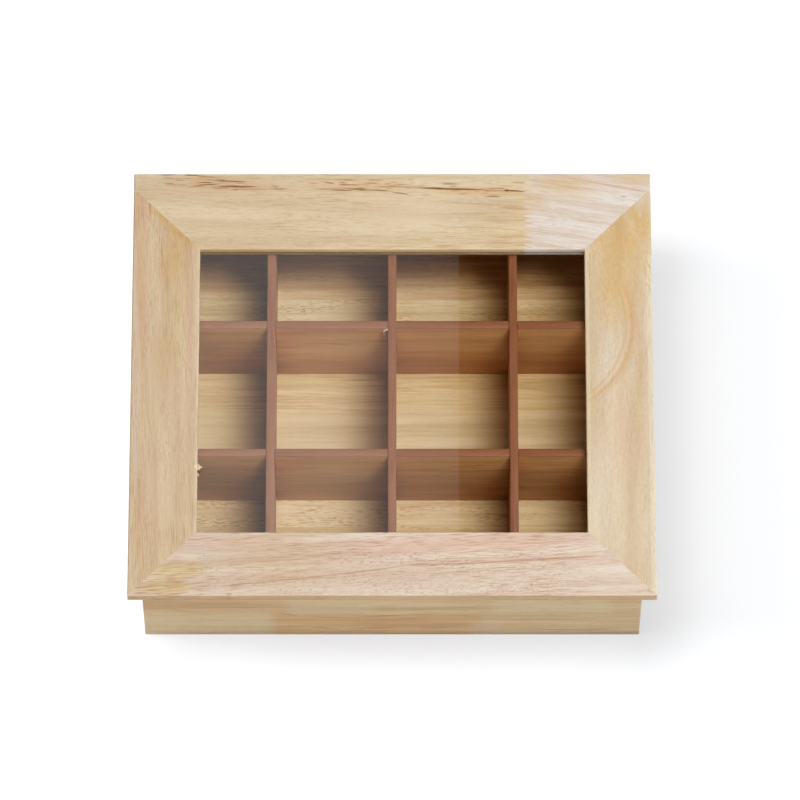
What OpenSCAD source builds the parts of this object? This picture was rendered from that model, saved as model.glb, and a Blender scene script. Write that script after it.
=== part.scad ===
// Hinged wooden tea bag organizer with a window in its lid and twelve compartments.
// Millimetres. +X is the right side, -Y the front and +Z up. The origin is the middle
// of the underside, so the box stands on Z = 0.

/* [Overall] */
// Width of the lid, side to side
lid_w = 340; // [300:5:400]
// Depth of the lid, front to back
lid_d = 300; // [270:5:360]
// Height of the base's walls
base_h = 84; // [70:1:120]
// How far the lid stands out past each side wall
side_overhang = 8.5; // [4:0.5:14]
// How far the lid stands out past the front wall and the back wall
end_overhang = 10; // [8.5:0.5:14]

/* [Base walls] */
// Thickness of the four walls
wall_t = 6; // [5:0.5:9]
// Thickness of front and back wall that laps over the ends of the side walls
lap_t = 3; // [2.5:0.5:4]
// Rounding of the four upright corners
corner_r = 1; // [0.5:0.5:2.5]

/* [Floor] */
// Thickness of the floor boards
floor_t = 5; // [4:0.5:8]
// Height of the floor boards' underside above the table
floor_up = 3; // [2:0.5:6]
// Depth of the groove in the walls that holds the floor
floor_groove = 3; // [2:0.5:4]
// Width of a full floor board
board_w = 82; // [60:1:85]
// Width of the floor board at the back, which is ripped narrower
back_board_w = 40; // [30:1:60]

/* [Dividers] */
// Thickness of the dividers
divider_t = 5.5; // [4:0.5:8]
// How far the dividers stop below the top of the walls
divider_drop = 2.5; // [1:0.5:10]
// Depth of the housings in the walls that hold the dividers' ends
housing_d = 2; // [1:0.5:3]

/* [Lid frame] */
// Thickness of the lid's rails
rail_t = 8; // [7:0.5:12]
// Width of the front rail and the two side rails
rail_w = 44; // [38:1:50]
// How much wider the back rail is than the others
back_rail_extra = 11; // [9:0.5:16]
// Blunt outer end of the two back mitres
mitre_heel = 2.5; // [1:0.5:5]
// Rounding of the lid's upper edges, outside and round the window
arris_r = 1; // [0.5:0.25:1.5]

/* [Finger joint in the back rail] */
// Where the fingers start, right of the middle
finger_x = 86.5; // [60:0.5:90]
// Length of the fingers
finger_l = 5.5; // [4:0.5:10]
// How many fingers cross the rail
finger_count = 16; // [10:1:20]
// Width of the flat at a finger's tip
finger_tip = 0.6; // [0.3:0.1:1]

/* [Mitre tongues] */
// From the tongue's ends to the pane's groove and to the outer corner, along the mitre
tongue_inset = 11; // [9:0.5:14]
// Width of the tongue across the joint
tongue_w = 12; // [8:1:14]
// Thickness of the tongue
tongue_t = 2; // [1.5:0.5:3]

/* [Window] */
// Thickness of the clear pane
pane_t = 2; // [1.5:0.5:3]
// Depth of the groove in the rails that holds the pane
pane_groove = 6; // [4:0.5:8]
// Thickness of rail left under the pane
pane_lip = 1.5; // [1:0.5:2.5]
// Room for the pane to swell at each edge
pane_room = 0.5; // [0.3:0.1:0.9]

/* [Hinges] */
// Length of a hinge
hinge_l = 30; // [26:1:40]
// From the base's side face to the near end of the hinge
hinge_inset = 30; // [22:1:45]
// Thickness of the hinge leaves
leaf_t = 1; // [0.8:0.1:1.2]
// Radius of the hinge barrel
barrel_r = 2.2; // [2:0.1:2.5]
// Radius of the hinge pin
pin_r = 1; // [0.8:0.1:1.2]
// Radius of the pin's two riveted heads
pin_head_r = 1.6; // [1.4:0.1:1.8]
// Thickness of a pin head
pin_head_t = 0.6; // [0.4:0.1:1]

/* [Hinge screws] */
// Distance between a leaf's two screws
screw_spacing = 18; // [14:1:20]
// Radius of a screw's shank
screw_r = 0.9; // [0.7:0.1:1.1]
// Radius of a screw's head
screw_head_r = 1.8; // [1.5:0.1:2]
// Length of the screws in the base
base_screw_l = 10; // [8:1:14]
// Length of the screws in the lid
lid_screw_l = 5.5; // [4:0.5:6]
// Width of the slot in a screw's head
slot_w = 0.5; // [0.4:0.1:0.7]
// Depth of the slot in a screw's head
slot_h = 0.4; // [0.3:0.1:0.6]

/* [Clearances] */
// Play of a glued wooden joint, each side
glue_gap = 0.1; // [0.05:0.05:0.2]
// Play of the pin in the barrel, on the radius
pin_gap = 0.05; // [0.02:0.01:0.1]
// Play of a screw in its hole, on the radius
screw_gap = 0.05; // [0.02:0.01:0.1]
// Gap between moving hinge parts and what they pass
running_gap = 0.3; // [0.2:0.05:0.4]
// How far each hinge leaf is sunk below the wood around it
leaf_sink = 0.15; // [0.1:0.05:0.3]
// Gap between the hinge barrel and the back wall
barrel_gap = 0.2; // [0.15:0.05:0.4]

/* [Hidden] */
$fn = 48;

// Columns and rows of compartments, as the named dividers make them
columns = 4;
rows = 3;

// Boards in the floor, front to back
board_count = 4;

// How far a cutter runs past the face that it opens
over = 1;

base_w = lid_w - 2 * side_overhang;
base_d = lid_d - 2 * end_overhang;
inner_w = base_w - 2 * wall_t;
inner_d = base_d - 2 * wall_t;
lid_top = base_h + rail_t;
back_rail_w = rail_w + back_rail_extra;

floor_top = floor_up + floor_t;
floor_w = inner_w + 2 * (floor_groove - glue_gap);
floor_d = inner_d + 2 * (floor_groove - glue_gap);

divider_h = base_h - divider_drop - floor_top;
long_divider_l = inner_d + 2 * (housing_d - glue_gap);
cross_divider_l = inner_w + 2 * (housing_d - glue_gap);
slot_t = divider_t + 2 * glue_gap;

// The window's opening between the rails, with its middle behind the lid's own
window_w = lid_w - 2 * rail_w;
window_d = lid_d - rail_w - back_rail_w;
window_y = (rail_w - back_rail_w) / 2;
window_front = window_y - window_d / 2;
window_back = window_y + window_d / 2;

// The back mitres run at 45 degrees from the window's corners to their blunt ends
heel_x = lid_w / 2 - mitre_heel;
heel_y = window_back + rail_w - mitre_heel;

pane_z = base_h + pane_lip;

// The tongues lie halfway up the rails, between the pane's groove and the outer corner
tongue_l = (rail_w - pane_groove) * sqrt(2) - 2 * tongue_inset;
tongue_run = (rail_w + pane_groove) / 2;
tongue_z = base_h + (rail_t - tongue_t) / 2;

// The pins' axis lies in the seam between base and lid, behind the back wall
pin_y = base_d / 2 + barrel_gap + barrel_r;
hinge_x = base_w / 2 - hinge_inset - hinge_l / 2;
knuckle_l = hinge_l / 3;
mid_knuckle_l = knuckle_l - 2 * running_gap;
leaf_y = base_d / 2 - wall_t;
short_leaf_w = pin_y - barrel_r - running_gap - leaf_y;
screw_y = base_d / 2 - wall_t / 2;

// What the hinge pin takes up with its heads
pin_l = hinge_l + 2 * pin_head_t;

rail_wood = "#DCC49A";
pink_wood = "#D9BD9E";
wall_wood = "#C3A87C";
floor_wood = "#D2B98A";
stained_wood = "#8E5A3C";
tongue_wood = "#CDB083";
brass = "#B8954A";
steel = "#A9A9A6";

// A box that stands on Z = 0 and is centred on X and Y
module block(w, d, h) {
    translate([-w / 2, -d / 2, 0]) cube([w, d, h]);
}

// The child, and again mirrored to the left side
module both_sides() {
    children();
    mirror([1, 0, 0]) children();
}

// Middles of the dividers, counted from the left and from the front
function column_x(i) = (i / columns - 1 / 2) * (inner_w + divider_t);
function row_y(j) = (j / rows - 1 / 2) * (inner_d + divider_t);

// Base walls

// Rounds an upright edge at the origin, where the solid lies towards -X and +Y
module upright_edge_cut() {
    difference() {
        translate([-corner_r, -over, -over]) cube([corner_r + over, corner_r + over, base_h + 2 * over]);
        translate([-corner_r, corner_r, -2 * over]) cylinder(r = corner_r, h = base_h + 4 * over);
    }
}

// The floor's groove and the housings of the dividers, for all four walls at once
module wall_cuts() {
    translate([0, 0, floor_up])
        block(inner_w + 2 * floor_groove, inner_d + 2 * floor_groove, floor_t + glue_gap);
    for (i = [1 : columns - 1])
        translate([column_x(i), 0, floor_top]) block(slot_t, inner_d + 2 * housing_d, base_h);
    for (j = [1 : rows - 1])
        translate([0, row_y(j), floor_top]) block(inner_w + 2 * housing_d, slot_t, base_h);
}

// A wall across the front, which laps over the ends of the side walls
module lapping_wall() {
    difference() {
        translate([-base_w / 2, -base_d / 2, 0]) cube([base_w, wall_t, base_h]);
        both_sides()
            translate([inner_w / 2, lap_t - base_d / 2, -over])
                cube([wall_t + over, wall_t, base_h + 2 * over]);
        both_sides() translate([base_w / 2, -base_d / 2, 0]) upright_edge_cut();
        wall_cuts();
    }
}

// A wall on the right, whose ends go into the rebates of the lapping walls
module side_wall() {
    difference() {
        translate([inner_w / 2, lap_t - base_d / 2, 0]) cube([wall_t, base_d - 2 * lap_t, base_h]);
        wall_cuts();
    }
}

module front_wall() {
    color(wall_wood) lapping_wall();
}

module back_wall() {
    color(wall_wood) difference() {
        mirror([0, 1, 0]) lapping_wall();
        both_sides() translate([hinge_x, 0, 0]) base_hinge_cut();
    }
}

module left_wall() {
    color(wall_wood) mirror([1, 0, 0]) side_wall();
}

module right_wall() {
    color(wall_wood) side_wall();
}

// Floor

// Front edge of a floor board, counted from the front; the last is the floor's back edge
function board_edge(i) =
    i == 0 ? -floor_d / 2 :
    i == board_count ? floor_d / 2 :
    floor_d / 2 - back_board_w - (board_count - 1 - i) * board_w;

module floor_board(i) {
    color(floor_wood)
        translate([-floor_w / 2, board_edge(i), floor_up])
            cube([floor_w, board_edge(i + 1) - board_edge(i), floor_t]);
}

// Dividers: the long ones are slotted from below, the cross ones from above

module long_divider(i) {
    color(stained_wood) difference() {
        translate([column_x(i), 0, floor_top]) block(divider_t, long_divider_l, divider_h);
        for (j = [1 : rows - 1])
            translate([column_x(i), row_y(j), floor_top - over])
                block(divider_t + 2 * over, slot_t, divider_h / 2 + glue_gap + over);
    }
}

module cross_divider(j) {
    color(stained_wood) difference() {
        translate([0, row_y(j), floor_top]) block(cross_divider_l, divider_t, divider_h);
        for (i = [1 : columns - 1])
            translate([column_x(i), row_y(j), floor_top + divider_h / 2 - glue_gap])
                block(slot_t, divider_t + 2 * over, divider_h);
    }
}

// Lid frame

// Rounds an edge along X at the origin, where the solid lies towards +Y and -Z
module arris_cut() {
    run = lid_w + lid_d;
    difference() {
        translate([-run / 2, -over, -arris_r]) cube([run, arris_r + over, arris_r + over]);
        translate([-run / 2 - over, arris_r, -arris_r])
            rotate([0, 90, 0]) cylinder(r = arris_r, h = run + 2 * over);
    }
}

// The outer upper edge of one side of the lid: 0 is the front, and they go anticlockwise
module outer_arris_cut(side) {
    rotate([0, 0, 90 * side])
        translate([0, side % 2 == 0 ? -lid_d / 2 : -lid_w / 2, lid_top]) arris_cut();
}

// The window's upper edge on the same side
module window_arris_cut(side) {
    edge = side == 0 ? window_front : side == 2 ? -window_back : -window_w / 2;
    rotate([0, 0, 90 * side]) translate([0, edge, lid_top]) mirror([0, 1, 0]) arris_cut();
}

// The four loose tongues, or with play the mortises that take them
module tongues(play) {
    both_sides()
        for (end = [-1, 1])
            translate([window_w / 2 + tongue_run, window_y + end * (window_d / 2 + tongue_run),
                       tongue_z - play])
                rotate([0, 0, 45 * end])
                    block(tongue_l + 2 * play, tongue_w + 2 * play, tongue_t + 2 * play);
}

// A rail of the given outline, with the pane's groove and the mortises for the tongues
module rail(outline) {
    difference() {
        translate([0, 0, base_h]) linear_extrude(rail_t) polygon(outline);
        translate([0, window_y, pane_z])
            block(window_w + 2 * pane_groove, window_d + 2 * pane_groove, pane_t + glue_gap);
        tongues(glue_gap);
    }
}

module lid_front_rail() {
    color(pink_wood) difference() {
        rail([
            [-lid_w / 2, -lid_d / 2], [lid_w / 2, -lid_d / 2],
            [window_w / 2, window_front], [-window_w / 2, window_front]
        ]);
        outer_arris_cut(0);
        window_arris_cut(0);
    }
}

// The rail on the right side
module side_rail() {
    difference() {
        rail([
            [lid_w / 2, -lid_d / 2], [lid_w / 2, heel_y], [heel_x, heel_y],
            [window_w / 2, window_back], [window_w / 2, window_front]
        ]);
        outer_arris_cut(1);
        window_arris_cut(1);
    }
}

module lid_left_rail() {
    color(rail_wood) mirror([1, 0, 0]) side_rail();
}

module lid_right_rail() {
    color(rail_wood) side_rail();
}

// The line between the two pieces of the back rail, from the window to the back edge
finger_pitch = back_rail_w / finger_count;
finger_line = [
    for (k = [0 : finger_count - 1])
        let (y = window_back + k * finger_pitch, root = finger_x, tip = finger_x + finger_l)
            each [
                [root, y + (k == 0 ? 0 : finger_tip / 2)],
                [tip, y + (finger_pitch - finger_tip) / 2],
                [tip, y + (finger_pitch + finger_tip) / 2],
                [root, y + finger_pitch - (k == finger_count - 1 ? 0 : finger_tip / 2)]
            ]
];

// What both pieces of the back rail lose beside their outline
module back_rail_cuts() {
    for (side = [1 : 3]) outer_arris_cut(side);
    window_arris_cut(2);
    both_sides() translate([hinge_x, 0, 0]) lid_hinge_cut();
}

module lid_back_rail_long() {
    color(rail_wood) difference() {
        rail(concat(finger_line, [
            [-lid_w / 2, lid_d / 2], [-lid_w / 2, heel_y], [-heel_x, heel_y],
            [-window_w / 2, window_back]
        ]));
        back_rail_cuts();
    }
}

module lid_back_rail_short() {
    color(pink_wood) difference() {
        rail(concat(finger_line, [
            [lid_w / 2, lid_d / 2], [lid_w / 2, heel_y], [heel_x, heel_y],
            [window_w / 2, window_back]
        ]));
        back_rail_cuts();
    }
}

module mitre_tongues() {
    color(tongue_wood) tongues(0);
}

module window_pane() {
    grip = pane_groove - pane_room;
    color("#E6EEF0", 0.3)
        translate([0, window_y, pane_z]) block(window_w + 2 * grip, window_d + 2 * grip, pane_t);
}

// Hinges: each is drawn with the middle of its length at X = 0 and moved to its side

// A length of barrel on the pins' axis
module barrel(r, l, x = 0) {
    translate([x - l / 2, pin_y, base_h]) rotate([0, 90, 0]) cylinder(r = r, h = l);
}

// The child at both screws of one leaf
module at_screws() {
    for (x = [-1, 1] * screw_spacing / 2) translate([x, screw_y, 0]) children();
}

// A countersunk screw that hangs down from its head's face at Z = 0
module screw(l) {
    difference() {
        union() {
            translate([0, 0, -leaf_t]) cylinder(r1 = screw_r, r2 = screw_head_r, h = leaf_t);
            translate([0, 0, 2 * screw_r - l]) cylinder(r = screw_r, h = l - 2 * screw_r - leaf_t);
            translate([0, 0, -l]) cylinder(r1 = 0, r2 = screw_r, h = 2 * screw_r);
        }
        translate([0, 0, -slot_h]) block(2 * screw_head_r + over, slot_w, slot_h + over);
    }
}

// The hole that such a screw needs, in leaf and wood
module screw_hole(l) {
    head_r = screw_head_r + screw_gap;
    shank_r = screw_r + screw_gap;
    translate([0, 0, -leaf_t]) cylinder(r1 = shank_r, r2 = head_r, h = leaf_t);
    translate([0, 0, -l - screw_gap]) cylinder(r = shank_r, h = l);
}

// A leaf that lies in the top of the back wall, with the two outer knuckles
module base_leaf() {
    color(brass) difference() {
        union() {
            translate([-hinge_l / 2, leaf_y, base_h - leaf_sink - leaf_t])
                cube([hinge_l, short_leaf_w, leaf_t]);
            for (x = [-1, 1] * knuckle_l) {
                translate([x - knuckle_l / 2, leaf_y, base_h - leaf_sink - leaf_t])
                    cube([knuckle_l, pin_y - leaf_y, leaf_t]);
                barrel(barrel_r, knuckle_l, x);
            }
        }
        barrel(pin_r + pin_gap, hinge_l + 2 * over);
        translate([0, 0, base_h - leaf_sink]) at_screws() screw_hole(base_screw_l);
    }
}

// A leaf that lies in the underside of the lid, with the middle knuckle
module lid_leaf() {
    color(brass) difference() {
        union() {
            translate([-hinge_l / 2, leaf_y, base_h + leaf_sink])
                cube([hinge_l, short_leaf_w, leaf_t]);
            translate([-mid_knuckle_l / 2, leaf_y, base_h + leaf_sink])
                cube([mid_knuckle_l, pin_y - leaf_y, leaf_t]);
            barrel(barrel_r, mid_knuckle_l);
        }
        barrel(pin_r + pin_gap, hinge_l + 2 * over);
        translate([0, 0, base_h + leaf_sink]) mirror([0, 0, 1]) at_screws() screw_hole(lid_screw_l);
    }
}

// The pin, riveted over at both ends of the barrel
module pin() {
    color(brass) {
        barrel(pin_r, hinge_l);
        for (x = [-1, 1] * (hinge_l + pin_head_t) / 2) barrel(pin_head_r, pin_head_t, x);
    }
}

// What the back wall loses to one hinge: the leaf's recess and two screw holes
module base_hinge_cut() {
    translate([-hinge_l / 2 - glue_gap, leaf_y - over, base_h - leaf_sink - leaf_t])
        cube([hinge_l + 2 * glue_gap, wall_t + 2 * over, leaf_t + leaf_sink + over]);
    translate([0, 0, base_h - leaf_sink]) at_screws() screw_hole(base_screw_l);
}

// What the lid loses to one hinge: the leaf's recess, room for the barrel and two screw holes
module lid_hinge_cut() {
    barrel_room = barrel_r + running_gap;
    translate([-hinge_l / 2 - glue_gap, leaf_y - glue_gap, base_h - over])
        cube([hinge_l + 2 * glue_gap, pin_y - leaf_y + glue_gap, leaf_t + leaf_sink + over]);
    translate([0, pin_y, base_h - over])
        block(pin_l + 2 * running_gap, 2 * barrel_room, barrel_room + over);
    translate([0, 0, base_h + leaf_sink]) mirror([0, 0, 1]) at_screws() screw_hole(lid_screw_l);
}

module hinge_base_leaf_left() {
    translate([-hinge_x, 0, 0]) base_leaf();
}

module hinge_base_leaf_right() {
    translate([hinge_x, 0, 0]) base_leaf();
}

module hinge_lid_leaf_left() {
    translate([-hinge_x, 0, 0]) lid_leaf();
}

module hinge_lid_leaf_right() {
    translate([hinge_x, 0, 0]) lid_leaf();
}

module hinge_pin_left() {
    translate([-hinge_x, 0, 0]) pin();
}

module hinge_pin_right() {
    translate([hinge_x, 0, 0]) pin();
}

module base_leaf_screws() {
    color(steel) both_sides()
        translate([hinge_x, 0, base_h - leaf_sink]) at_screws() screw(base_screw_l);
}

module lid_leaf_screws() {
    color(steel) both_sides()
        translate([hinge_x, 0, base_h + leaf_sink]) mirror([0, 0, 1]) at_screws() screw(lid_screw_l);
}

front_wall();
back_wall();
left_wall();
right_wall();
floor_board(0);  // floor_board_front
floor_board(1);  // floor_board_mid_front
floor_board(2);  // floor_board_mid_back
floor_board(3);  // floor_board_back
long_divider(1);  // long_divider_left
long_divider(2);  // long_divider_middle
long_divider(3);  // long_divider_right
cross_divider(1);  // cross_divider_front
cross_divider(2);  // cross_divider_back
hinge_base_leaf_left();
hinge_base_leaf_right();
hinge_pin_left();
hinge_pin_right();
base_leaf_screws();
lid_front_rail();
lid_left_rail();
lid_right_rail();
lid_back_rail_long();
lid_back_rail_short();
mitre_tongues();
window_pane();
hinge_lid_leaf_left();
hinge_lid_leaf_right();
lid_leaf_screws();
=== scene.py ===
import math

import bmesh
import bpy
from mathutils import Matrix, Vector


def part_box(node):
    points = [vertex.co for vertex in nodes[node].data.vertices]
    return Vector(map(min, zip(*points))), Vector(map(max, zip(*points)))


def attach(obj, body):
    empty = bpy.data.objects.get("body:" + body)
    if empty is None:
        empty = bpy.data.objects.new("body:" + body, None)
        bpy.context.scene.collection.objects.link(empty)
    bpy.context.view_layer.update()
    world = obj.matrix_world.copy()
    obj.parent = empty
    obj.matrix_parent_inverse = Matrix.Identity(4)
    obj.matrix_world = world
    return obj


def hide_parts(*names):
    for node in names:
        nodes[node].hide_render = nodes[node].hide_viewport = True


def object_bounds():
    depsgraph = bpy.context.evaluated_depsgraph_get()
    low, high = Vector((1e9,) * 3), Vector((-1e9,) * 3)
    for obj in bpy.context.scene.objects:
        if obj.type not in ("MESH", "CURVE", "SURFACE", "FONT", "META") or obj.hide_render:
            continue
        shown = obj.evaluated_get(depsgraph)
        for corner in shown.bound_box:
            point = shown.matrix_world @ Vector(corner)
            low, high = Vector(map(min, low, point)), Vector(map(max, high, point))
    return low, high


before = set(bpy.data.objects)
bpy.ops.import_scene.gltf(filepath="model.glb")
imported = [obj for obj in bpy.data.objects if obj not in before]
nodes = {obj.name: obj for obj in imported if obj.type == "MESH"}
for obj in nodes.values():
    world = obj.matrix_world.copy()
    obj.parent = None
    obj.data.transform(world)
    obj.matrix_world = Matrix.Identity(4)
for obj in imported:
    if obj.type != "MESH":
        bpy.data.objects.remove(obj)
cadBox = [list(corner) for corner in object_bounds()]
scene = bpy.context.scene
print("frame loaded:", len(nodes), "nodes")


def linear(colour):  # from the 0 to 255 that a screen shows to the shader's own scale
    parts = [part / 255 for part in colour]
    return [part / 12.92 if part < 0.04045 else ((part + 0.055) / 1.055) ** 2.4 for part in parts] + [1.0]


class Field:  # one output socket, which shader maths treats as a number
    def __init__(self, shade, socket):
        self.shade = shade
        self.socket = socket

    def maths(self, operation, first, second=0.0, clamp=False):
        settings = {"operation": operation, "use_clamp": clamp}
        return self.shade.node("ShaderNodeMath", settings, {0: first, 1: second})

    def __add__(self, other):
        return self.maths("ADD", self, other)

    def __radd__(self, other):
        return self.maths("ADD", other, self)

    def __sub__(self, other):
        return self.maths("SUBTRACT", self, other)

    def __rsub__(self, other):
        return self.maths("SUBTRACT", other, self)

    def __mul__(self, other):
        return self.maths("MULTIPLY", self, other)

    def __truediv__(self, other):
        return self.maths("DIVIDE", self, other)

    def __abs__(self):
        return self.maths("ABSOLUTE", self)

    def clamp(self):
        return self.maths("ADD", self, 0.0, clamp=True)

    def most(self, other):
        return self.maths("MAXIMUM", self, other)

    def least(self, other):
        return self.maths("MINIMUM", self, other)

    def above(self, start, firm):  # 0 up to the start, then rising to 1
        return ((self - start) * firm).clamp()

    def below(self, start, firm):  # 0 down to the start, then rising to 1
        return ((start - self) * firm).clamp()

    def output(self, name):  # another output of the same node
        return Field(self.shade, self.socket.node.outputs[name])


class Shade:  # the nodes of one material, lamp or world
    def __init__(self, tree):
        self.tree = tree
        tree.nodes.clear()

    def node(self, kind, settings=None, values=None, output=0):
        made = self.tree.nodes.new(kind)
        for name, value in (settings or {}).items():
            if name == "stops":
                ramp = made.color_ramp
                while len(ramp.elements) < len(value):
                    ramp.elements.new(0.5)
                for element, (position, colour) in zip(ramp.elements, value):
                    element.position = position
                    element.color = linear(colour)
            else:
                setattr(made, name, value)
        for name, value in (values or {}).items():
            if isinstance(value, Field):
                self.tree.links.new(value.socket, made.inputs[name])
            else:
                made.inputs[name].default_value = value
        return Field(self, made.outputs[output]) if made.outputs else made

    def mix(self, factor, first, second, blend="MIX"):  # colours only
        settings = {"data_type": "RGBA", "blend_type": blend, "clamp_factor": True}
        return self.node("ShaderNodeMix", settings, {0: factor, 6: first, 7: second}, output=2)

    def brighten(self, colour, factor):
        return self.node("ShaderNodeVectorMath", {"operation": "SCALE"}, {0: colour, "Scale": factor})

    def place(self):  # the surface point in metres, as one vector and as its three parts
        point = self.node("ShaderNodeTexCoord", output="Object")
        parts = self.node("ShaderNodeSeparateXYZ", values={0: point})
        return point, [parts.output(axis) for axis in "XYZ"]

    def noise(self, point, size, detail=0.0, shift=(0, 0, 0), turn=(0, 0, 0)):
        settings = {"vector_type": "TEXTURE"}
        values = {"Vector": point, "Location": shift, "Rotation": turn, "Scale": size}
        mapped = self.node("ShaderNodeMapping", settings, values)
        values = {"Vector": mapped, "Scale": 1.0, "Detail": detail, "Roughness": 0.5}
        return self.node("ShaderNodeTexNoise", {"noise_dimensions": "3D"}, values)

    def surface(self, shader, kind="ShaderNodeOutputMaterial"):
        self.node(kind, values={"Surface": shader})


def newMaterial(name):
    material = bpy.data.materials.new(name)
    material.use_nodes = True
    return material, Shade(material.node_tree)


sharpAngle = 32  # degrees between two faces, from which their edge stays sharp


def newObject(name, shape):  # turns a bmesh into a finished piece with smooth faces and sharp corners
    mesh = bpy.data.meshes.new(name)
    shape.to_mesh(mesh)
    shape.free()
    mesh.shade_smooth()
    mesh.set_sharp_from_angle(angle=math.radians(sharpAngle))
    piece = bpy.data.objects.new(name, mesh)
    scene.collection.objects.link(piece)
    return piece


camera = {
    "aim": (0.0051, -0.0113, 0.088),
    "distance": 4.5506,
    "elevation": 66.13,
    "lens": 315,
    "sensor": 36,
}


def setCamera(shot):
    data = bpy.data.cameras.new("camera")
    data.lens = shot["lens"]
    data.sensor_width = shot["sensor"]
    eye = bpy.data.objects.new("camera", data)
    rise = math.radians(shot["elevation"])
    back = Vector((0, -math.cos(rise), math.sin(rise)))
    eye.location = Vector(shot["aim"]) + shot["distance"] * back
    eye.rotation_euler = (math.pi / 2 - rise, 0, 0)
    scene.collection.objects.link(eye)
    scene.camera = eye


setCamera(camera)
scene.view_settings.view_transform = "Standard"
print("camera set")


studio = {
    "tableSize": 14.0,
    "tableColour": (232, 232, 232),
    "tableGlow": 0.644,  # share of the table's white that no shadow takes away
    "tableTint": (0.98, 1.0, 1.03),  # takes back the warmth that the wood throws on the table
    "tableShare": 0.33,  # how much of its lamps' light the table sends on to the camera
    "keyLeans": (8, 16, 24.5),  # degrees to the right at which the warm half starts, turns cool and ends
    "keyFronts": (10, 6),  # degrees off the vertical to the front, of each half
    "keyHeight": 2.5,
    "keyDepth": 1.16,
    "keyPower": 57.0,
    "keyTint": 0.27,  # how far the two halves are from the white that they add up to
    "sideLean": 62,  # degrees to the right of a weaker lamp that lights the upright faces
    "sideDistance": 2.6,
    "sideSize": (0.9, 0.9),
    "sidePower": 13.0,
    "fillRise": 34,  # degrees above the table of a weaker lamp in front
    "fillDistance": 2.8,
    "fillSize": (1.6, 0.9),
    "fillPower": 14.0,
    "shadowLamps": [  # degrees to the left and to the back, softness in degrees, and power
        (8.7, 10.2, 26.9, 1.676), (23.1, -2.1, 28.7, 1.35), (52.0, 2.8, 25.4, 1.978)],
    "wallGlow": 0.70,  # what the studio's walls and ceiling give to the object
    "ceilingGlow": 0.004,
    "wallTop": (0.22, 0.46),  # sine of the height at which the wall turns to ceiling
    "cardSize": (1.2, 1.2),
    "cardEdge": 0.056,  # the soft panel that the pane mirrors ends at this x
    "cardDistance": 1.5,
    "cardGlow": (0.42, 6.0, 1.08),  # at that edge, more for each metre to the left, and the most
}


def aimLamp(lamp, location, target):
    lamp.location = location
    lamp.rotation_euler = (Vector(target) - Vector(location)).to_track_quat("-Z", "Y").to_euler()


def buildTable(look):
    shape = bmesh.new()
    bmesh.ops.create_grid(shape, x_segments=1, y_segments=1, size=look["tableSize"] / 2)
    table = newObject("table", shape)
    material, shade = newMaterial("paperTable")
    path = shade.node("ShaderNodeLightPath", output="Is Camera Ray")
    seen = path.most(path.output("Is Glossy Ray")).most(path.output("Is Transmission Ray"))
    dim = [look["tableShare"]] * 3 + [1.0]
    plain = shade.node("ShaderNodeBsdfDiffuse", values={"Color": linear(look["tableColour"])})
    soft = shade.node("ShaderNodeBsdfDiffuse", values={"Color": dim})
    tint = [*look["tableTint"], 1.0]
    light = shade.node("ShaderNodeEmission", values={"Color": tint, "Strength": look["tableGlow"]})
    bright = shade.node("ShaderNodeAddShader", values={0: soft, 1: light})
    shade.surface(shade.node("ShaderNodeMixShader", values={0: seen, 1: plain, 2: bright}))
    table.data.materials.append(material)
    return table


def buildWorld(look):
    world = bpy.data.worlds.new("studio")
    world.use_nodes = True
    scene.world = world
    shade = Shade(world.node_tree)
    direction = shade.node("ShaderNodeTexCoord", output="Generated")
    height = shade.node("ShaderNodeSeparateXYZ", values={0: direction}, output="Z")
    low, high = look["wallTop"]
    wall = (1 - (height - low) / (high - low)).clamp()
    path = shade.node("ShaderNodeLightPath", output="Is Camera Ray")
    mirrored = path.output("Is Glossy Ray").most(path.output("Is Transmission Ray"))
    share = look["wallGlow"] + mirrored * (1 - look["wallGlow"])
    strength = path.most(look["ceilingGlow"] + wall * share)
    light = shade.node("ShaderNodeBackground", values={"Strength": strength})
    shade.surface(light, "ShaderNodeOutputWorld")


def addSoftbox(name, size, power, location, receivers, colour=(1, 1, 1)):
    data = bpy.data.lights.new(name, "AREA")
    data.shape = "RECTANGLE"
    data.size, data.size_y = size
    data.energy = power
    data.color = colour
    lamp = bpy.data.objects.new(name, data)
    aimLamp(lamp, location, (0, 0, 0))
    lamp.light_linking.receiver_collection = receivers
    lamp.visible_camera = False
    scene.collection.objects.link(lamp)


def addKeyHalf(name, look, first, last, front, tint, receivers):
    middle = math.radians((first + last) / 2)
    height = look["keyHeight"]
    width = 2 * height / math.cos(middle) * math.tan(math.radians(last - first) / 2)
    location = (math.tan(middle) * height, -math.tan(math.radians(front)) * height, height)
    size = (width, look["keyDepth"])
    addSoftbox(name, size, look["keyPower"] / 2, location, receivers, (1 + tint, 1, 1 - tint))


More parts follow.
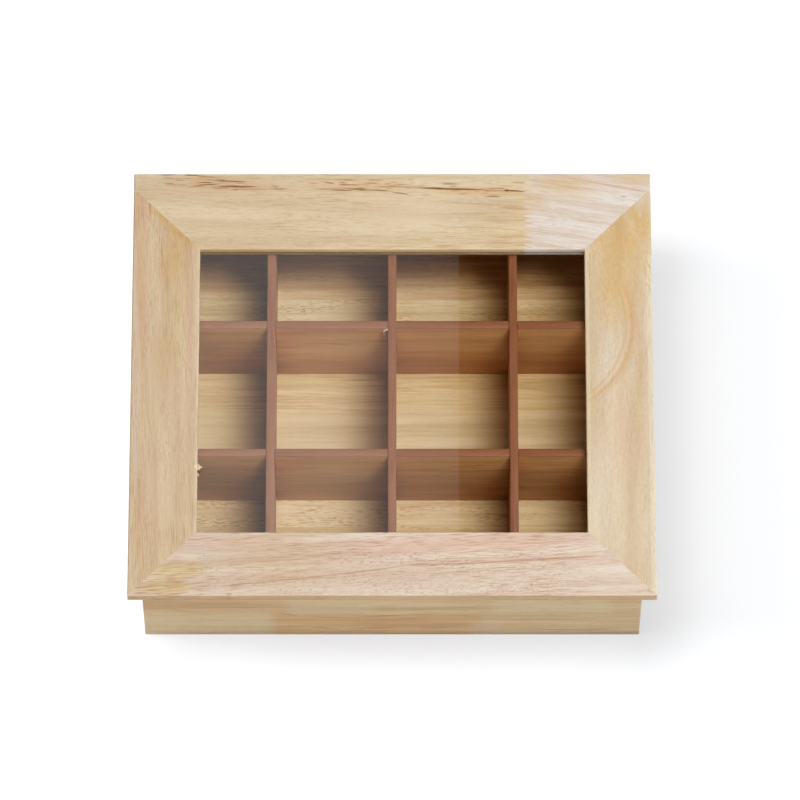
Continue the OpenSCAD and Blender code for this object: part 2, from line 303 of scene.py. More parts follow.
def buildLamps(look, table):
    others = bpy.data.collections.new("allButTheTable")
    others.objects.link(table)
    others.collection_objects[0].light_linking.link_state = "EXCLUDE"
    tableOnly = bpy.data.collections.new("tableOnly")
    tableOnly.objects.link(table)
    first, middle, last = look["keyLeans"]
    warmFront, coolFront = look["keyFronts"]
    addKeyHalf("warmKey", look, first, middle, warmFront, look["keyTint"], others)
    addKeyHalf("coolKey", look, middle, last, coolFront, -look["keyTint"], others)
    lean = math.radians(look["sideLean"])
    place = Vector((math.sin(lean), 0, math.cos(lean))) * look["sideDistance"]
    addSoftbox("side", look["sideSize"], look["sidePower"], place, others)
    rise = math.radians(look["fillRise"])
    place = Vector((0, -math.cos(rise), math.sin(rise))) * look["fillDistance"]
    addSoftbox("fill", look["fillSize"], look["fillPower"], place, others)
    for left, back, softness, power in look["shadowLamps"]:
        data = bpy.data.lights.new("shadowLamp", "SUN")
        data.angle = math.radians(softness)
        data.energy = power
        lamp = bpy.data.objects.new("shadowLamp", data)
        location = (-math.tan(math.radians(left)), math.tan(math.radians(back)), 1)
        aimLamp(lamp, location, (0, 0, 0))
        lamp.light_linking.receiver_collection = tableOnly
        scene.collection.objects.link(lamp)


def buildCard(look):  # a soft panel behind and to the left, seen only as a reflection
    rise = math.radians(camera["elevation"])
    away = Vector((0, math.cos(rise), math.sin(rise)))
    width, height = look["cardSize"]
    shape = bmesh.new()
    bmesh.ops.create_grid(shape, x_segments=1, y_segments=1, size=0.5)
    bmesh.ops.scale(shape, vec=(width, height, 1), verts=shape.verts)
    bmesh.ops.rotate(shape, matrix=away.to_track_quat("Z", "Y").to_matrix(), verts=shape.verts)
    centre = Vector(camera["aim"]) + away * look["cardDistance"]
    centre.x = look["cardEdge"] - width / 2
    bmesh.ops.translate(shape, vec=centre, verts=shape.verts)
    card = newObject("card", shape)
    material, shade = newMaterial("softPanel")
    point, (x, y, z) = shade.place()
    least, perMetre, most = look["cardGlow"]
    glow = least + (look["cardEdge"] - x) * perMetre
    shade.surface(shade.node("ShaderNodeEmission", values={"Strength": glow.least(most)}))
    card.data.materials.append(material)
    card.visible_camera = False
    card.visible_diffuse = False
    card.visible_shadow = False


table = buildTable(studio)
buildWorld(studio)
buildLamps(studio, table)
buildCard(studio)
print("studio built")


mm = 0.001
axisNumber = {"x": 0, "y": 1, "z": 2}
faceAxes = {"x": (1, 2, 0), "y": (0, 2, 1), "z": (0, 1, 2)}  # two axes along a face, and the one out of it

wood = {  # what every board starts from
    "grain": "x",
    "face": "z",  # the axis that the board's broad face points along
    "slant": 0,  # degrees from the axis to the grain
    "seed": 0.0,
    "pale": (224, 204, 170),
    "middle": (216, 193, 158),
    "deep": (204, 178, 140),
    "bandSize": (160, 8),  # millimetres along and across the grain, here and below
    "bandEdges": (0.36, 0.50, 0.64),  # shares of the noise at which the three colours stand
    "blush": (224, 188, 160),
    "straw": (214, 196, 148),
    "tintDepth": 0.40,
    "tintSize": (60, 3.5),
    "lineSize": (18, 0.85),
    "lineGate": 0.53,  # the higher, the broader
    "lineDepth": 0.45,  # how strongly the dark lines show
    "lineTint": (234, 219, 200),
    "lineZones": (80, 18),  # parts where the lines are strong or faint
    "lineRange": (-0.6, 3.2),  # their strength in the faintest part, and how much it rises
    "fibreSize": (8, 0.5),
    "fibreDepth": 0.10,
    "speckSize": (2.2, 0.8),
    "speckDepth": 0.05,
    "poreSize": (4.5, 0.65),
    "poreGate": 0.60,  # the higher, the fewer
    "poreDepth": 0.30,
    "poreColour": (160, 122, 86),
    "poreSlant": 0,  # degrees more than the grain's slant
    "poreZones": (50, 10),  # parts with many pores or none
    "poreZoneGate": 0.40,
    "poreFeather": 6,  # where pores keep to a straight-sided part
    "wave": 1.2,  # millimetres that the grain sways
    "waveSize": (60, 20),
    "ruffle": 0.3,
    "ruffleSize": (7, 1.6),
    "brightness": 1.01,
    "roughness": 0.56,
    "roughnessSpread": 0.2,
    "specular": 0.35,
    "relief": 0.12,
    "reliefDepth": 0.4,
    "fibreRise": 0.6,  # shares of that depth
    "poreDrop": 0.8,
    "marks": [],  # spots of one colour each: x, y, length, width, turn in degrees and strength
    "patches": [],  # straight-sided parts, as where one strip of wood meets another
    "rings": [],  # growth rings that show as parts of ellipses
}
layers = {  # how fine each kind of noise is, and a shift of its own, so that no two agree
    "wave": (1.0, 0.02), "ruffle": (0.0, 0.09), "bands": (2.0, 0.11), "tints": (1.0, 0.37),
    "scars": (1.0, 0.47), "lines": (1.0, 0.23), "lineZones": (0.0, 0.71), "fibres": (1.0, 0.05),
    "specks": (0.0, 0.53), "poreZones": (1.0, 0.61), "pores": (0.0, 0.83),
}
seedSpread = (0.7, 1.3)  # what a seed counts for along y and z
firmness = {  # how quickly each kind of detail sets in
    "tints": 6, "lines": 6, "pores": 14, "poreZones": 5,
    "scars": 10, "scarredParts": 2, "ringedParts": 2.5,
}
tintGates = (0.52, 0.48)  # shares of the noise where the blush and the straw colour start


def grainSize(look, size):
    length, width = size
    scale = [width * mm, width * mm, width * mm]
    scale[axisNumber[look["grain"]]] = length * mm
    return scale


def faceTurn(look, degrees):  # a turn within the broad face
    out = faceAxes[look["face"]][2]
    turn = [0, 0, 0]
    turn[out] = math.radians(-degrees if out == 1 else degrees)
    return turn


def faceDistance(shade, point, look, at, radii, degrees=0):  # 0 at the centre of an ellipse, 1 on it
    across, up, out = faceAxes[look["face"]]
    centre = [0, 0, 0]
    scale = [1, 1, 1]
    centre[across], centre[up] = at[0] * mm, at[1] * mm
    scale[across], scale[up] = radii[0] * mm, radii[1] * mm
    values = {"Vector": point, "Location": centre, "Rotation": faceTurn(look, degrees), "Scale": scale}
    mapped = shade.node("ShaderNodeMapping", {"vector_type": "TEXTURE"}, values)
    flatten = [1, 1, 1]
    flatten[out] = 0
    flat = shade.node("ShaderNodeVectorMath", {"operation": "MULTIPLY"}, {0: mapped, 1: flatten})
    return shade.node("ShaderNodeVectorMath", {"operation": "LENGTH"}, {0: flat}, output="Value")


def addMarks(shade, colour, point, look):  # a spot with a firmness of 1 fades all the way from its middle
    for group in look["marks"]:
        mask = None
        for x, y, length, width, turn, strength in group["spots"]:
            distance = faceDistance(shade, point, look, (x, y), (length / 2, width / 2), turn)
            spot = distance.below(1, group["firm"]) * strength
            mask = spot if mask is None else mask.most(spot)
        colour = shade.mix(mask, colour, linear(group["colour"]), group.get("blend", "MIX"))
    return colour


def insideSides(parts, look, sides, feather):  # 1 inside a straight-sided part of the face, 0 outside
    across, up, out = faceAxes[look["face"]]
    left, right, low, high = (side * mm for side in sides)
    inside = (parts[across] - left).least(right - parts[across])
    inside = inside.least(parts[up] - low).least(high - parts[up])
    return (inside / (feather * mm)).clamp()


def addPatches(shade, colour, parts, look):
    for patch in look["patches"]:
        mask = insideSides(parts, look, patch["sides"], patch["feather"]) * patch["strength"]
        colour = shade.mix(mask, colour, linear(patch["colour"]), patch.get("blend", "MIX"))
    return colour


def addScars(shade, colour, streaks, point, look):  # short dark streaks, each in a warmer one
    scars = look["scars"]
    near = None
    for x, y, length, width, turn in scars["within"]:
        distance = faceDistance(shade, point, look, (x, y), (length / 2, width / 2), turn)
        spot = distance.below(1, firmness["scarredParts"])
        near = spot if near is None else near.most(spot)
    wide = streaks.above(scars["warmGate"], firmness["scars"]) * near
    narrow = streaks.above(scars["gate"], firmness["scars"]) * near
    colour = shade.mix(wide * scars["warmDepth"], colour, linear(scars["warm"]))
    return shade.mix(narrow * scars["depth"], colour, linear(scars["dark"]))


def addRings(shade, colour, point, look):
    for ring in look["rings"]:
        distance = faceDistance(shade, point, look, ring["centre"], ring["radii"], ring["turn"])
        x, y, length, width, turn = ring["within"]
        within = faceDistance(shade, point, look, (x, y), (length / 2, width / 2), turn)
        near = within.below(1, firmness["ringedParts"])
        for radius, width, strength in ring["lines"]:
            line = (1 - abs(distance - radius) / width).clamp() * near * strength
            colour = shade.mix(line, colour, linear(ring["colour"]))
    return colour


def makeWood(name, changes):
    look = {**wood, **changes}
    material, shade = newMaterial(name)
    point, parts = shade.place()
    turn = faceTurn(look, look["slant"])
    seed = look["seed"]

    def layer(source, size, kind, turn=turn):
        detail, shift = layers[kind]
        offset = (seed + shift, seed * seedSpread[0] + shift, seed * seedSpread[1])
        return shade.noise(source, grainSize(look, size), detail, offset, turn)

    push = (layer(point, look["waveSize"], "wave") - 0.5) * (look["wave"] * mm)
    push = push + (layer(point, look["ruffleSize"], "ruffle") - 0.5) * (look["ruffle"] * mm)
    lift = shade.node("ShaderNodeCombineXYZ", values={0: push, 1: push, 2: push})
    bent = shade.node("ShaderNodeVectorMath", {"operation": "ADD"}, {0: point, 1: lift})

    bands = layer(bent, look["bandSize"], "bands")
    stops = list(zip(look["bandEdges"], (look["deep"], look["middle"], look["pale"])))
    colour = shade.node("ShaderNodeValToRGB", {"stops": stops}, {0: bands})
    warmth = layer(bent, look["tintSize"], "tints")
    rosy = warmth.above(tintGates[0], firmness["tints"]) * look["tintDepth"]
    sallow = warmth.below(tintGates[1], firmness["tints"]) * look["tintDepth"]
    colour = shade.mix(rosy, colour, linear(look["blush"]))
    colour = shade.mix(sallow, colour, linear(look["straw"]))
    if "edge" in look:
        colour = look["edge"](shade, colour, parts)
    colour = addPatches(shade, colour, parts, look)
    colour = addMarks(shade, colour, bent, look)
    colour = addRings(shade, colour, bent, look)
    if "scars" in look:
        streakTurn = faceTurn(look, look["slant"] + look["scars"]["slant"])
        streaks = layer(bent, look["scars"]["size"], "scars", streakTurn)
        colour = addScars(shade, colour, streaks, point, look)

    lines = layer(bent, look["lineSize"], "lines")
    low, rise = look["lineRange"]
    strength = layer(point, look["lineZones"], "lineZones") * rise + low
    dark = ((look["lineGate"] - lines) * strength * (firmness["lines"] * look["lineDepth"])).clamp()
    colour = shade.mix(dark, colour, linear(look["lineTint"]), "MULTIPLY")
    fibres = layer(bent, look["fibreSize"], "fibres")
    specks = layer(point, look["speckSize"], "specks")
    light = look["brightness"] + (fibres - 0.5) * (2 * look["fibreDepth"])
    light = light + (specks - 0.5) * (2 * look["speckDepth"])
    colour = shade.brighten(colour, light)
    density = layer(point, look["poreZones"], "poreZones")
    density = density.above(look["poreZoneGate"], firmness["poreZones"])
    if "poreSides" in look:
        density = density * insideSides(parts, look, look["poreSides"], look["poreFeather"])
    poreTurn = faceTurn(look, look["slant"] + look["poreSlant"])
    pores = layer(point, look["poreSize"], "pores", poreTurn)
    pores = pores.above(look["poreGate"], firmness["pores"]) * density
    colour = shade.mix(pores * look["poreDepth"], colour, linear(look["poreColour"]))

    height = fibres * look["fibreRise"] - pores * look["poreDrop"]
    values = {"Strength": look["relief"], "Distance": look["reliefDepth"] * mm, "Height": height}
    bump = shade.node("ShaderNodeBump", values=values)
    roughness = look["roughness"] + (fibres - 0.5) * look["roughnessSpread"]
    values = {"Base Color": colour, "Roughness": roughness, "Normal": bump}
    values["Specular IOR Level"] = look["specular"]
    shade.surface(shade.node("ShaderNodeBsdfPrincipled", values=values))
    return material


def dress(name, material):
    data = nodes[name].data
    data.materials.clear()
    data.materials.append(material)


lidEdge = {"tint": (228, 211, 176), "depth": 0.8, "fade": 0.4}  # the outer sides are tinted browner


def railEdge(shade, colour, parts):  # the lid's outer sides, below the softened top corner
    x, y, z = parts
    high = cadBox[1]
    side = abs(x) - (high[0] - lidEdge["depth"] * mm)
    end = abs(y) - (high[1] - lidEdge["depth"] * mm)
    below = high[2] - lidEdge["depth"] * mm - z
    mask = (side.most(end).least(below) / (lidEdge["fade"] * mm)).clamp()
    return shade.mix(mask, colour, linear(lidEdge["tint"]), "MULTIPLY")


leftRail = {
    "grain": "y", "slant": 2, "seed": 3.1, "edge": railEdge,
    "pale": (212, 190, 158), "middle": (206, 182, 151), "deep": (199, 174, 141),
    "blush": (210, 177, 152), "straw": (205, 185, 143),
    "lineDepth": 0.35, "poreDepth": 0.25,
    "marks": [
        {"colour": (250, 234, 188), "blend": "MULTIPLY", "firm": 1.6, "spots": [
            (-152, 122, 34, 12, -62, 0.9), (-139, 109, 38, 20, -50, 0.9), (-143, 88, 54, 26, 90, 0.6),
            (-140, 62, 60, 14, 88, 0.3), (-148, 18, 62, 20, 90, 0.3)]},
        {"colour": (253, 234, 230), "blend": "MULTIPLY", "firm": 1.3, "spots": [
            (-164, 128, 56, 18, 86, 0.9),
            (-164, 60, 170, 12, 90, 0.6), (-163, -90, 80, 12, 90, 0.5), (-132, 40, 120, 8, 90, 0.4)]},
        {"colour": (206, 168, 124), "firm": 1.5, "spots": [
            (-169, 22, 22, 2.0, 90, 0.7), (-157, 26, 14, 1.6, 90, 0.4), (-152, 66, 24, 1.4, 82, 0.5)]},
        {"colour": (200, 190, 178), "firm": 2, "spots": [(-166.4, -12, 190, 3.4, 90.8, 0.5)]},
        {"colour": (232, 214, 196), "firm": 2, "spots": [(-127.0, -60, 3, 3.4, 0, 0.6)]},
    ],
    "patches": [
        # painted highlight: a paler strip along the window's edge, where the softened corner catches the
        # light
        {"sides": (-128.6, -125.6, -150, 60), "feather": 1.0, "strength": 0.4, "colour": (216, 200, 180)}],
}
rightRail = {
    "grain": "y", "slant": -3, "seed": 7.7, "edge": railEdge,
    "pale": (213, 197, 170), "middle": (207, 189, 161), "deep": (200, 179, 148),
    "blush": (211, 184, 160), "straw": (206, 189, 146),
    "bandSize": (140, 16), "tintSize": (70, 9), "tintDepth": 0.25, "lineSize": (12, 0.8), "lineDepth": 0.15,
    "fibreDepth": 0.05, "speckSize": (2.4, 1.1), "speckDepth": 0.07, "poreDepth": 0.15,
    "scars": {
        "size": (7, 0.8), "slant": 24,
        "warm": (220, 182, 124), "warmGate": 0.48, "warmDepth": 0.45,
        "dark": (192, 146, 92), "gate": 0.55, "depth": 0.35,
        "within": [(150, 100, 110, 60, -60), (146, 60, 60, 30, 90)]},
    "marks": [
        {"colour": (252, 232, 182), "blend": "MULTIPLY", "firm": 1.3, "spots": [
            (160, 117, 42, 12, -72, 0.8), (140, 100, 40, 16, -60, 0.7), (150, 100, 70, 40, -75, 0.8),
            (146, 74, 80, 40, 90, 0.7), (165, 112, 46, 14, 88, 0.8)]},
        {"colour": (208, 168, 110), "firm": 1.3, "spots": [
            (152, 105, 26, 4, -66, 0.3), (141, 92, 22, 5, -60, 0.3), (160, 118, 18, 4, -70, 0.5)]},
        {"colour": (255, 238, 230), "blend": "MULTIPLY", "firm": 1.3, "spots": [
            (162, 20, 130, 9, 90, 0.6), (160, -40, 80, 8, 86, 0.6), (148, -40, 120, 40, 88, 0.5)]},
        {"colour": (216, 203, 182), "firm": 1.3, "spots": [
            (136, -70, 90, 22, 90, 0.5), (140, 10, 60, 20, 84, 0.5)]},
    ],
    "patches": [
        # painted highlights: paler strips along the rail's outer side and the window's edge, where the
        # softened corners catch the light
        {"sides": (166.2, 170.4, -150, 92), "feather": 1.0, "strength": 0.6, "colour": (222, 212, 190)},
        {"sides": (125.6, 129.2, -106, 130), "feather": 1.0, "strength": 0.5, "colour": (220, 206, 170)}],
    "rings": [
        {"centre": (60, 55), "radii": (79.7, 100), "turn": 65.9, "within": (147, 28, 118, 52, 74),
         "colour": (203, 160, 110), "lines": [(1.0, 0.028, 0.8), (0.955, 0.016, 0.5), (1.03, 0.02, 0.3)]},
    ],
}
backRailLong = {
    "grain": "x", "slant": -0.5, "seed": 1.3, "edge": railEdge,
    "pale": (220, 203, 171), "middle": (215, 196, 163), "deep": (208, 187, 153),
    "blush": (220, 190, 163), "straw": (213, 196, 153), "tintDepth": 0.3,
    "lineDepth": 0.35, "fibreDepth": 0.07, "poreDepth": 0.2,
    "patches": [
        {"sides": (-130, 100, 94, 95.8), "feather": 0.4, "strength": 1.0, "colour": (255, 245, 224),
         "blend": "MULTIPLY"}],
    "scars": {
        "size": (13, 0.9), "slant": 0,
        "warm": (200, 160, 108), "warmGate": 0.53, "warmDepth": 0.5,
        "dark": (94, 56, 30), "gate": 0.60, "depth": 0.8,
        "within": [
            (-128, 145, 60, 12, -2), (-98, 140.5, 56, 8, -1),
            (-18, 141, 90, 12, -3), (52, 139, 90, 10, -2)]},
    "marks": [
        {"colour": (236, 232, 230), "blend": "MULTIPLY", "firm": 1.3, "spots": [(60, 122, 84, 44, 0, 0.5)]},
        {"colour": (255, 238, 218), "blend": "MULTIPLY", "firm": 1.5, "spots": [
            (-110, 143, 90, 13, -2, 0.6), (-20, 141, 90, 12, -2, 0.7), (60, 137, 90, 10, -2, 0.8),
            (76, 114, 70, 44, 0, 0.3)]},
        {"colour": (180, 126, 78), "firm": 2.0, "spots": [
            (-122, 147.7, 18, 1.8, -4.5, 0.6), (-148, 146.6, 11, 1.5, 0, 0.5),
            (-147, 142.2, 9, 1.5, 0, 0.4),
            (-91, 138.6, 24, 1.8, 0, 0.5), (-45, 138.8, 12, 1.6, 0, 0.5), (-11, 145.6, 13, 1.7, -1, 0.6),
            (-37, 138.6, 22, 1.8, -4, 0.6), (-1, 140.4, 28, 1.4, -2, 0.6), (38, 142.5, 15, 1.6, -4, 0.6),
            (22, 134.5, 9, 1.5, 0, 0.4), (67, 133.6, 12, 1.6, 0, 0.6), (84, 143.7, 14, 1.5, 0, 0.6),
            (74, 137.6, 30, 2.2, -2, 0.6), (40, 138.9, 74, 2.6, -1.8, 0.6), (12, 145.9, 6, 1.4, 0, 0.5),
            (-104, 140.2, 40, 2.8, -1, 0.6), (-112, 139.4, 16, 2.2, 0, 0.6)]},
        {"colour": (190, 149, 101), "firm": 1.7, "spots": [
            (60, 128, 70, 1.6, -3, 0.5), (52, 121, 60, 1.3, 2, 0.4), (74, 116, 44, 1.5, 1, 0.5),
            (48, 111, 56, 1.4, -1, 0.4), (78, 104, 40, 1.6, 2, 0.5), (66, 99.5, 60, 1.2, 0, 0.4),
            (80, 125, 26, 3.4, -4, 0.6), (-92, 99, 50, 1.2, 1, 0.3), (-30, 104, 60, 1.0, 0, 0.3)]},
        {"colour": (92, 50, 28), "firm": 3, "spots": [
            (-148, 149.2, 12, 1.1, 0, 0.6), (-132, 148.7, 12, 1.1, 0, 0.7),
            (-106.5, 144.4, 26, 1.1, -1, 0.75),
            (-102, 140.7, 28, 1.3, 0, 0.85), (-74.8, 138.8, 14, 1.1, 0, 0.5), (-41, 143.4, 7, 1.1, -7, 0.7),
            (38, 139.0, 50, 1.3, -1.8, 0.9), (5.1, 135.5, 13, 1.1, -8, 0.65),
            (80.7, 137.6, 16, 1.1, -3, 0.8),
            (75.5, 137.9, 4, 1.8, 0, 0.8), (-33, 137.9, 16, 1.0, -2, 0.6), (66, 133.6, 12, 0.9, 0, 0.5)]},
    ],
}
backRailShort = {
    "grain": "x", "slant": -9, "seed": 5.9, "edge": railEdge,
    "pale": (225, 217, 209), "middle": (220, 209, 200), "deep": (212, 196, 179),
    "blush": (221, 203, 196), "straw": (217, 209, 190),
    "bandSize": (110, 7), "lineDepth": 0.35, "fibreDepth": 0.07, "poreDepth": 0.15,
    "marks": [
        {"colour": (248, 232, 202), "blend": "MULTIPLY", "firm": 1.2, "spots": [
            (110, 143, 70, 30, -8, 1.0), (160, 146, 50, 14, -12, 0.9), (94, 130, 24, 26, 0, 0.7)]},
        {"colour": (110, 84, 74), "firm": 1.4, "spots": [(152, 133, 5, 1.4, -4, 0.5)]},
        {"colour": (200, 162, 120), "firm": 1.4, "spots": [
            (142, 141.6, 66, 2.6, -11, 0.6), (131, 115, 40, 1.4, -7, 0.3), (118, 128, 44, 1.2, -12, 0.3)]},
    ],
}
frontRail = {
    "grain": "x", "slant": 3, "seed": 9.2, "edge": railEdge,
    "pale": (218, 205, 188), "middle": (212, 194, 176), "deep": (205, 183, 163),
    "blush": (214, 187, 174), "straw": (214, 202, 176),
    "lineSize": (13, 0.75), "lineDepth": 0.52, "lineTint": (228, 204, 188),
    "fibreDepth": 0.09, "tintDepth": 0.3, "wave": 0.6,
    "poreSize": (3.2, 0.6), "poreSlant": 6, "poreGate": 0.575, "poreDepth": 0.5,
    "poreColour": (166, 132, 104), "poreSides": (-128, 175, -154, -115),
    "marks": [
        {"colour": (248, 240, 226), "blend": "MULTIPLY", "firm": 1.2, "spots": [
            (-76, -128, 130, 70, 0, 0.9)]},
        {"colour": (246, 238, 202), "blend": "MULTIPLY", "firm": 2.2, "spots": [
            (-140, -133, 50, 17, 4, 0.9), (-146, -144, 44, 14, 0, 0.9)]},
        {"colour": (255, 238, 232), "blend": "MULTIPLY", "firm": 1.3, "spots": [
            (40, -114, 230, 18, 3, 0.8), (-90, -112, 80, 12, 2, 0.6)]},
        {"colour": (180, 138, 110), "firm": 2.2, "spots": [
            (-80, -140.6, 90, 1.3, 6, 0.5), (-20, -133.4, 70, 1.4, 7.4, 0.6),
            (36, -128.5, 70, 1.4, 1.5, 0.6), (92, -125.3, 110, 1.8, 3.6, 0.7),
            (-104.6, -149.3, 5, 2.0, 0, 0.6), (-43, -144.3, 7, 1.2, 12, 0.5),
            (60, -119.4, 60, 1.0, 3, 0.35), (100, -113.2, 70, 1.0, 4, 0.35),
            (20, -108.6, 80, 1.0, 2, 0.3)]},
    ],
}
dress("lid_left_rail", makeWood("leftRailWood", leftRail))
dress("lid_right_rail", makeWood("rightRailWood", rightRail))
dress("lid_back_rail_long", makeWood("backRailLongWood", backRailLong))
dress("lid_back_rail_short", makeWood("backRailShortWood", backRailShort))
dress("lid_front_rail", makeWood("frontRailWood", frontRail))
dress("mitre_tongues", makeWood("tongueWood", {"seed": 2.9}))
print("lid rails dressed")


frontWall = {
    "grain": "x", "face": "y", "seed": 2.2,
    "pale": (208, 186, 147), "middle": (201, 174, 133), "deep": (191, 161, 119),
    "lineSize": (26, 1.5), "lineDepth": 0.35, "poreDepth": 0.15, "tintDepth": 0.25,
    "patches": [
        {"sides": (-170, -68, 32, 90), "feather": 4, "strength": 0.5, "colour": (248, 230, 208),
         "blend": "MULTIPLY"},
        {"sides": (-68, -8, 36, 90), "feather": 4, "strength": 0.4, "colour": (204, 186, 148)},
        {"sides": (-170, -78, -2, 38), "feather": 4, "strength": 0.5, "colour": (206, 190, 154)},
        {"sides": (-78, 60, -4, 36), "feather": 4, "strength": 0.5, "colour": (255, 230, 196),
         "blend": "MULTIPLY"},
        {"sides": (48, 76, -4, 24), "feather": 7, "strength": 0.6, "colour": (208, 183, 155)},
        {"sides": (62, 146, 32, 70), "feather": 9, "strength": 0.6, "colour": (208, 191, 153)},
    ],
    "marks": [
        {"colour": (172, 128, 84), "firm": 1.3, "spots": [
            (-68, 34.5, 22, 2.4, -24, 0.8), (-40, 29.6, 44, 2.6, -2, 0.8), (-10, 31.5, 40, 2.6, 6, 0.75),
            (20, 35.2, 44, 2.6, 0, 0.6), (50, 31.5, 40, 2.4, -14, 0.5), (-66, 14, 26, 2.6, -2, 0.6),
            (-46, 11.4, 26, 2.4, -10, 0.7), (-12, 11, 46, 2.6, 2, 0.8), (28, 12.4, 42, 2.6, 0, 0.8),
            (114, 8.5, 96, 2.6, 0, 0.6), (100, 26, 50, 3, 0, 0.4)]},
        {"colour": (178, 136, 90), "firm": 1.2, "spots": [
            (-120, 62, 70, 5, 0, 0.4), (-100, 48, 60, 4, 0, 0.4), (-84, 66, 40, 4, 0, 0.5)]},
    ],
}
plainWall = {"pale": (220, 198, 160), "middle": (212, 187, 147), "deep": (198, 168, 124), "poreDepth": 0.2}
dress("front_wall", makeWood("frontWallWood", frontWall))
dress("back_wall", makeWood("backWallWood", {**plainWall, "face": "y", "seed": 4.4}))
dress("left_wall", makeWood("leftWallWood", {**plainWall, "grain": "y", "face": "x", "seed": 6.6}))
dress("right_wall", makeWood("rightWallWood", {**plainWall, "grain": "y", "face": "x", "seed": 8.8}))

floor = {
    "pale": (230, 208, 162), "middle": (221, 196, 145), "deep": (206, 178, 124),
    "blush": (220, 188, 140), "straw": (220, 200, 142),
    "bandSize": (160, 5), "lineSize": (30, 1.0), "lineDepth": 0.35, "poreColour": (186, 136, 80),
}
paleEnd = {"colour": (236, 218, 184), "firm": 1.5, "spots": [
    (-56, 90, 90, 44, 0, 0.5), (40, 90, 60, 36, 0, 0.2), (-40, 24, 84, 50, 0, 0.2)]}
# painted light: the floor of the leftmost compartments is made paler
paintedLightEnd = {"colour": (250, 222, 172), "firm": 1.5, "spots": [(-116, 0, 70, 260, 0, 0.35)]}
boards = {
    "front": {"seed": 1.9, "lineDepth": 0.2, "poreSize": (4.2, 0.55), "poreGate": 0.55, "poreDepth": 0.65},
    "mid_front": {
        "seed": 3.6,
        "pale": (230, 210, 170), "middle": (223, 201, 158), "deep": (211, 186, 140), "lineDepth": 0.2,
        "poreSize": (4.2, 0.55), "poreGate": 0.54, "poreDepth": 0.65, "poreSides": (-170, 170, -80, -30),
        "patches": [
            {"sides": (-82, 0, -90, -30), "feather": 12, "strength": 0.6, "colour": (240, 222, 182)}]},
    "mid_back": {
        "seed": 5.3, "lineSize": (26, 1.0), "lineDepth": 0.45,
        "poreSize": (4.6, 0.6), "poreGate": 0.55, "poreDepth": 0.7, "poreSides": (-170, 170, 60, 110),
        "marks": [paintedLightEnd, paleEnd]},
    "back": {
        "seed": 7.0, "pale": (233, 205, 160), "middle": (224, 192, 145), "deep": (210, 172, 124),
        "blush": (222, 180, 138), "lineDepth": 0.5, "lineSize": (24, 1.0)},
}
for part, changes in boards.items():
    board = {**floor, "marks": [paintedLightEnd], **changes}
    dress("floor_board_" + part, makeWood("floorWood" + part.title().replace("_", ""), board))


divider = {
    "leftStain": (160, 107, 79), "rightStain": (149, 90, 54),  # the stained tops, paler to the left
    "stainDepth": 0.6, "stainFade": 0.3,  # millimetres down from the top
    "lowerTint": (250, 236, 220), "lowerShare": 0.6, "lowerFade": 0.6,  # the strip below the glue line
    "pale": (216, 162, 106), "middle": (208, 153, 97), "deep": (198, 140, 85),
    "blush": (203, 143, 92), "straw": (208, 160, 100),
    "bandSize": (160, 7), "lineSize": (30, 1.0), "lineDepth": 0.35, "lineTint": (222, 196, 172),
    "poreDepth": 0.15, "poreColour": (150, 92, 56), "roughness": 0.5,
}
# the long dividers' two sides are lit and shaded copies of one board: the darker stain, like the tops', is
# partly real and partly painted shade, and the side facing the key on the right is painted paler, as
# painted light
longSides = {
    "pale": (158, 102, 68), "middle": (148, 92, 60), "deep": (136, 82, 52),
    "paintedLitSide": (208, 158, 120), "sideFade": 1,
}
eased = {
    "width": 0.45,  # millimetres taken off the dividers' corners
    "sharpAngle": 40,  # degrees from which a corner counts as sharp
    "flatAngle": 1,  # degrees up to which two faces become one
    "mergeDistance": 0.01,  # millimetres
    "steps": 2,
}
stripJoint = 46  # height of the glue line between the two strips of the back cross divider
# painted light: the cross dividers' faces in the second column from the left are made paler
paintedLightColumn = {"colour": (236, 192, 134), "firm": 2, "spots": [(-40, 30, 92, 98, 0, 0.6)]}


def dividerTop(shade, colour, parts):  # stained edges are redder and darker than the faces
    left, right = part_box("long_divider_left")[0].x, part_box("long_divider_right")[1].x
    share = (parts[0] - left) / (right - left)
    stain = shade.mix(share, linear(divider["leftStain"]), linear(divider["rightStain"]))
    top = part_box("long_divider_middle")[1].z
    mask = ((parts[2] - (top - divider["stainDepth"] * mm)) / (divider["stainFade"] * mm)).clamp()
    return shade.mix(mask, colour, stain)


def longDivider(shade, colour, parts):  # painted light: paler on the side that faces right, towards the key
    boxes = [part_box("long_divider_" + part) for part in ("left", "middle", "right")]
    middles = [(low.x + high.x) / 2 for low, high in boxes]
    apart = (middles[2] - middles[0]) / 2
    near = shade.node("ShaderNodeMath", {"operation": "WRAP"}, {0: parts[0], 1: apart / 2, 2: -apart / 2})
    right = (near / (longSides["sideFade"] * mm)).clamp()
    colour = shade.mix(right, colour, linear(longSides["paintedLitSide"]))
    return dividerTop(shade, colour, parts)


def stripedDivider(shade, colour, parts):  # golden above the glue line and redder below it
    lower = ((stripJoint * mm - parts[2]) / (divider["lowerFade"] * mm)).clamp()
    colour = shade.mix(lower * divider["lowerShare"], colour, linear(divider["lowerTint"]), "MULTIPLY")
    return dividerTop(shade, colour, parts)


